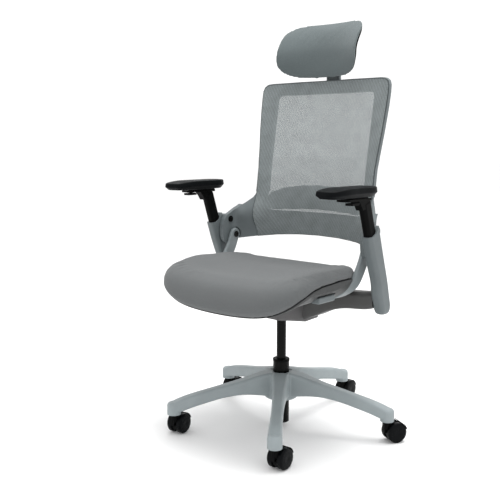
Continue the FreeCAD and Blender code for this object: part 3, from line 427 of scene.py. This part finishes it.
def make_gap_shade_line(points):
    """Dark tube in the groove round the edge of the back mesh: painted shade for the shaded gap between
    mesh and frame.
    """
    curve = bpy.data.curves.new("mesh_edge_gap_shade", "CURVE")
    curve.dimensions = "3D"
    curve.bevel_depth = GAP_SHADE_RADIUS
    curve.bevel_resolution = 2
    spline = curve.splines.new("POLY")
    spline.points.add(len(points) - 1)
    for spot, point in zip(spline.points, points):
        spot.co = (point.x, point.y + 0.0002, point.z, 1.0)
    spline.use_cyclic_u = True
    source = bpy.data.objects.new("gap_shade_path", curve)
    scene.collection.objects.link(source)
    bpy.context.view_layer.update()
    graph = bpy.context.evaluated_depsgraph_get()
    mesh = bpy.data.meshes.new_from_object(source.evaluated_get(graph))
    bpy.data.objects.remove(source)
    ob = add_object("mesh_edge_gap_shade", mesh)
    shade_smooth(mesh)
    mesh.materials.clear()
    mesh.materials.append(GAP_SHADE_TRIM)
    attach(ob, "back")
    return ob


def relax_depth(grid, rounds):
    """Fills the hollows in a grid of vertices, so the stretched sheet has no ripples."""
    start = np.array([[vert.co.y for vert in column] for column in grid])
    depth = start.copy()
    for _ in range(rounds):
        beside = depth[:-2, 1:-1] + depth[2:, 1:-1]
        along = depth[1:-1, :-2] + depth[1:-1, 2:]
        depth[1:-1, 1:-1] = (beside + along) / 4.0
    for column, row in zip(grid, np.minimum(depth, start)):
        for vert, y in zip(column, row):
            vert.co.y = y


class SheetOutline:
    """Rays at the front of the CAD sheet, to find its outline and its depth."""

    def __init__(self, node):
        low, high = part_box(node)
        self.tree = node_tree(node)
        self.reach = high.x + 0.002
        self.bottom, self.top = low.z + 0.0005, high.z - 0.0005
        self.corner_z = low.z + MESH_CORNER_RISE

    def front(self, x, z):
        hit = self.tree.ray_cast(Vector((x, -1.0, z)), Vector((0.0, 1.0, 0.0)))
        return hit[0]

    def depth(self, x, z):
        """Depth of the sheet at a point, or at the closest point inward of it."""
        for step in range(40):
            inward = 1.0 - 0.0025 * step
            shift = 0.0004 * step if z < 0.6 else -0.0004 * step
            hit = self.front(x * inward, z) or self.front(x, z + shift)
            if hit:
                return hit.y
        return 0.2

    def half_width(self, z):
        inner, outer = 0.15, self.reach
        for _ in range(16):
            middle = (inner + outer) / 2
            if self.front(middle, z):
                inner = middle
            else:
                outer = middle
        return inner

    def edge_height(self, x, start, step):
        z = start
        while self.front(x, z) is None:
            z += step
        return z

    def column_x(self, s, z):
        """Sideways place of a column: even in the middle, on the outline at the sides."""
        if abs(s) <= MESH_MIDDLE_SHARE:
            return MESH_HALF_WIDTH * s
        share = min(1.0, (abs(s) - MESH_MIDDLE_SHARE) / 0.3)
        half = self.half_width(max(z, self.corner_z))
        return 0.9995 * s * (MESH_HALF_WIDTH + (half - MESH_HALF_WIDTH) * share)

    def column_ends(self, s):
        lower = self.corner_z
        for _ in range(3):
            lower = self.edge_height(self.column_x(s, lower), self.bottom, 0.0004)
        upper_x = min(abs(MESH_HALF_WIDTH * s) * 1.02, 0.2278)
        return lower, self.edge_height(upper_x, self.top, -0.0004)


def sheet_grid(bm, outline):
    """Vertices over the front of the sheet, in columns that crowd a little at the sides."""
    grid = []
    spots = {}
    quarter = math.pi / 2 * 0.98
    for j in range(MESH_COLUMNS + 1):
        s = math.sin((2.0 * j / MESH_COLUMNS - 1.0) * quarter) / math.sin(quarter)
        lower, upper = outline.column_ends(s)
        column = []
        for i in range(MESH_ROWS + 1):
            z = lower + (upper - lower) * i / MESH_ROWS
            x = outline.column_x(s, z)
            vert = bm.verts.new((x, outline.depth(x, z) + 0.0003, z))
            spots[vert] = (x, z)
            column.append(vert)
        grid.append(column)
    return grid, spots


def border(grid):
    """Points round the edge of the grid, in order."""
    left = [v.co.copy() for v in grid[0]]
    top = [c[-1].co.copy() for c in grid[1:]]
    right = [v.co.copy() for v in reversed(grid[-1][:-1])]
    bottom = [c[0].co.copy() for c in reversed(grid[1:-1])]
    return left + top + right + bottom


def make_back_mesh():
    mesh = bpy.data.meshes.new("back_mesh_sheet")
    bm = bmesh.new()
    uv_layer = bm.loops.layers.uv.new("weave")
    grid, spots = sheet_grid(bm, SheetOutline("back_mesh"))
    relax_depth(grid, 60)
    for a, b in zip(grid, grid[1:]):
        for i in range(MESH_ROWS):
            face = bm.faces.new((a[i], b[i], b[i + 1], a[i + 1]))
            face.smooth = True
            for loop in face.loops:
                loop[uv_layer].uv = spots[loop.vert]
    edge = border(grid)
    bm.to_mesh(mesh)
    bm.free()
    # Dark tube round the mesh edge, painted shade in the gap to the frame.
    make_gap_shade_line(edge)
    ob = add_object("back_mesh_fabric", mesh)
    dress(ob, "mesh_fabric")
    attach(ob, "back")
    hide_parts("back_mesh")
    return ob


# ---------------------------------------------------------------- arm pads


def make_arm_pad(side):
    node = "arm_pad_" + side
    ob = remeshed_copy(node, "arm_rest_" + side, PAD_VOXEL, 2)
    low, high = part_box(node)
    co = co_array(ob.data)
    middle = (low.x + high.x) / 2
    across = (co[:, 0] - middle) / ((high.x - low.x) / 2)
    along = (co[:, 1] - low.y) / (high.y - low.y)
    share = np.clip((co[:, 2] - low.z) / (high.z - low.z), 0, 1)
    crown = PAD_CROWN * (1 - across ** 2) * (1 - (2 * along - 1) ** 4)
    droop = PAD_DROOP * (np.clip(0.35 - along, 0, 1) / 0.35) ** 1.5
    co[:, 2] += share * (crown - droop)
    set_co(ob.data, co)
    shade_smooth(ob.data)
    dress(ob, "pad_black")
    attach(ob, node)
    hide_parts(node)
    return ob


make_seat()
make_headrest()
make_back_mesh()
for side in ("left", "right"):
    make_arm_pad(side)


# ---------------------------------------------------------------- floor, light, camera


def area_light(name, location, target, size, power):
    light = bpy.data.lights.new(name, "AREA")
    light.shape = "RECTANGLE"
    light.size = size
    light.size_y = size
    light.energy = power
    ob = bpy.data.objects.new(name, light)
    scene.collection.objects.link(ob)
    ob.location = location
    ob.rotation_euler = (Vector(target) - Vector(location)).to_track_quat("-Z", "Y").to_euler()
    return ob


def make_stage():
    mesh = bpy.data.meshes.new("floor")
    signs = [(-1, -1), (1, -1), (1, 1), (-1, 1)]
    corners = [(FLOOR_REACH * x, FLOOR_REACH * y, 0) for x, y in signs]
    mesh.from_pydata(corners, [], [(0, 1, 2, 3)])
    floor = add_object("floor", mesh)
    s = Shader("pale floor")
    tint = s.ramp(s.noise(3.0), 0.3, 0.7, (0.9, 0.9, 0.9), (0.92, 0.92, 0.92))
    s.link(tint, s.bsdf.inputs["Base Color"])
    s.set(Roughness=0.9)
    mesh.materials.append(s.material)
    world = bpy.data.worlds.new("studio")
    world.use_nodes = True
    background = world.node_tree.nodes["Background"]
    background.inputs["Color"].default_value = (1.0, 1.0, 1.0, 1.0)
    background.inputs["Strength"].default_value = SKY_STRENGTH
    scene.world = world
    area_light("key", KEY_PLACE, KEY_TARGET, KEY_SIZE, KEY_POWER)
    scene.view_settings.view_transform = "Standard"


def make_camera():
    camera = bpy.data.cameras.new("camera")
    camera.sensor_width = SENSOR_WIDTH
    camera.lens = CAMERA_LENS
    camera.clip_start = 0.05
    camera.clip_end = 100.0
    ob = bpy.data.objects.new("camera", camera)
    scene.collection.objects.link(ob)
    ob.location = CAMERA_PLACE
    ob.rotation_euler = Vector(CAMERA_DIRECTION).to_track_quat("-Z", "Y").to_euler()
    scene.camera = ob


make_stage()
make_camera()
